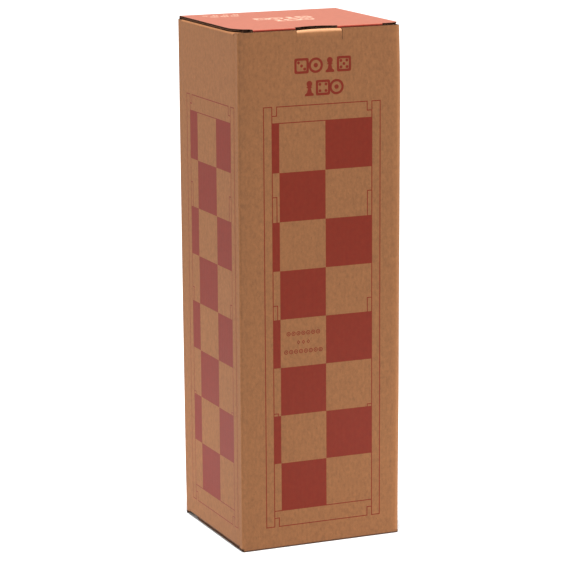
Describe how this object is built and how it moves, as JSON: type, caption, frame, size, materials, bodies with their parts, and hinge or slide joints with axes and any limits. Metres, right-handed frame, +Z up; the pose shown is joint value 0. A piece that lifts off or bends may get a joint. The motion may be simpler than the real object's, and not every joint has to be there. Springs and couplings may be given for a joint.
{
  "type": "boxed ludo board game",
  "caption": "Tall tuck-end carton of fluted board with a chequer print, holding a wooden board folded into a hinged tower of playing pieces.",
  "frame": {"origin": "centre of the carton's footprint, on the ground", "axes": "+Z up along the carton, -Y towards the printed front wall with the lock tab, +X to the right seen from the front; the lid hinges at +Y"},
  "size_m": [0.12, 0.1084, 0.364],
  "materials": {
    "kraft_board": "matt brown kraft fluted board with dark red print",
    "lid_print": "matt fluted board printed light red all over",
    "beech": "clear-varnished beech",
    "beech_red": "beech stained dark red, satin varnish",
    "steel": "drawn steel wire",
    "pawn_red": "painted wood, gloss",
    "pawn_blue": "painted wood, gloss",
    "pawn_green": "painted wood, gloss",
    "pawn_yellow": "painted wood, gloss",
    "die_white": "ivory-coloured plastic, polished"
  },
  "bodies": {
    "carton": {"carton_sleeve": "kraft_board", "board_leaf_1": "beech", "board_leaf_2": "beech", "board_leaf_3": "beech", "board_leaf_4": "beech", "hinge_pin_1": "steel", "hinge_pin_2": "steel", "hinge_pin_3": "steel", "tower_bottom_cap": "beech", "tower_top_cap": "beech", "draught_light_1": "beech", "draught_light_2": "beech", "draught_light_3": "beech", "draught_light_4": "beech", "draught_light_5": "beech", "draught_light_6": "beech", "draught_light_7": "beech", "draught_light_8": "beech", "draught_light_9": "beech", "draught_light_10": "beech", "draught_light_11": "beech", "draught_light_12": "beech", "draught_dark_1": "beech_red", "draught_dark_2": "beech_red", "draught_dark_3": "beech_red", "draught_dark_4": "beech_red", "draught_dark_5": "beech_red", "draught_dark_6": "beech_red", "draught_dark_7": "beech_red", "draught_dark_8": "beech_red", "draught_dark_9": "beech_red", "draught_dark_10": "beech_red", "draught_dark_11": "beech_red", "draught_dark_12": "beech_red", "pawn_red_1": "pawn_red", "pawn_red_2": "pawn_red", "pawn_red_3": "pawn_red", "pawn_red_4": "pawn_red", "pawn_blue_1": "pawn_blue", "pawn_blue_2": "pawn_blue", "pawn_blue_3": "pawn_blue", "pawn_blue_4": "pawn_blue", "pawn_green_1": "pawn_green", "pawn_green_2": "pawn_green", "pawn_green_3": "pawn_green", "pawn_green_4": "pawn_green", "pawn_yellow_1": "pawn_yellow", "pawn_yellow_2": "pawn_yellow", "pawn_yellow_3": "pawn_yellow", "pawn_yellow_4": "pawn_yellow", "die": "die_white"},
    "lid": {"lid_panel": "lid_print"},
    "lid_tuck": {"lid_tuck_flap": "lid_print"},
    "top_dust_left": {"top_dust_flap_left": "kraft_board"},
    "top_dust_right": {"top_dust_flap_right": "kraft_board"},
    "lock_tab": {"lock_tab": "kraft_board"},
    "bottom": {"bottom_panel": "kraft_board"},
    "bottom_tuck": {"bottom_tuck_flap": "kraft_board"},
    "bottom_dust_left": {"bottom_dust_flap_left": "kraft_board"},
    "bottom_dust_right": {"bottom_dust_flap_right": "kraft_board"}
  },
  "joints": [
    {"name": "lid_hinge", "type": "hinge", "parent": "carton", "child": "lid", "pos_m": [0, 0.05425, 0.364], "axis": [-1, 0, 0], "range_deg": [0, 265]},
    {"name": "lid_tuck_fold", "type": "hinge", "parent": "lid", "child": "lid_tuck", "pos_m": [0, -0.05245, 0.364], "axis": [-1, 0, 0], "range_deg": [0, 26.6]},
    {"name": "top_dust_left_fold", "type": "hinge", "parent": "carton", "child": "top_dust_left", "pos_m": [-0.06, 0, 0.3622], "axis": [0, -1, 0], "range_deg": [0, 88.5]},
    {"name": "top_dust_right_fold", "type": "hinge", "parent": "carton", "child": "top_dust_right", "pos_m": [0.06, 0, 0.3622], "axis": [0, 1, 0], "range_deg": [0, 88.5]},
    {"name": "lock_tab_bend", "type": "hinge", "parent": "carton", "child": "lock_tab", "pos_m": [0, -0.05425, 0.3546], "axis": [1, 0, 0], "range_deg": [0, 25], "stiffness_Nm_per_rad": 0.004},
    {"name": "bottom_hinge", "type": "hinge", "parent": "carton", "child": "bottom", "pos_m": [0, -0.05425, 0], "axis": [-1, 0, 0], "range_deg": [0, 265]},
    {"name": "bottom_tuck_fold", "type": "hinge", "parent": "bottom", "child": "bottom_tuck", "pos_m": [0, 0.05245, 0], "axis": [-1, 0, 0], "range_deg": [0, 26.6]},
    {"name": "bottom_dust_left_fold", "type": "hinge", "parent": "carton", "child": "bottom_dust_left", "pos_m": [-0.06, 0, 0.0018], "axis": [0, 1, 0], "range_deg": [0, 88.5]},
    {"name": "bottom_dust_right_fold", "type": "hinge", "parent": "carton", "child": "bottom_dust_right", "pos_m": [0.06, 0, 0.0018], "axis": [0, -1, 0], "range_deg": [0, 88.5]}
  ],
  "couplings": [
    {"joint": "lid_tuck_fold", "follows": "lid_hinge", "ratio": 0.1},
    {"joint": "top_dust_left_fold", "follows": "lid_hinge", "ratio": 0.3333},
    {"joint": "top_dust_right_fold", "follows": "lid_hinge", "ratio": 0.3333},
    {"joint": "bottom_tuck_fold", "follows": "bottom_hinge", "ratio": 0.1},
    {"joint": "bottom_dust_left_fold", "follows": "bottom_hinge", "ratio": 0.3333},
    {"joint": "bottom_dust_right_fold", "follows": "bottom_hinge", "ratio": 0.3333}
  ]
}
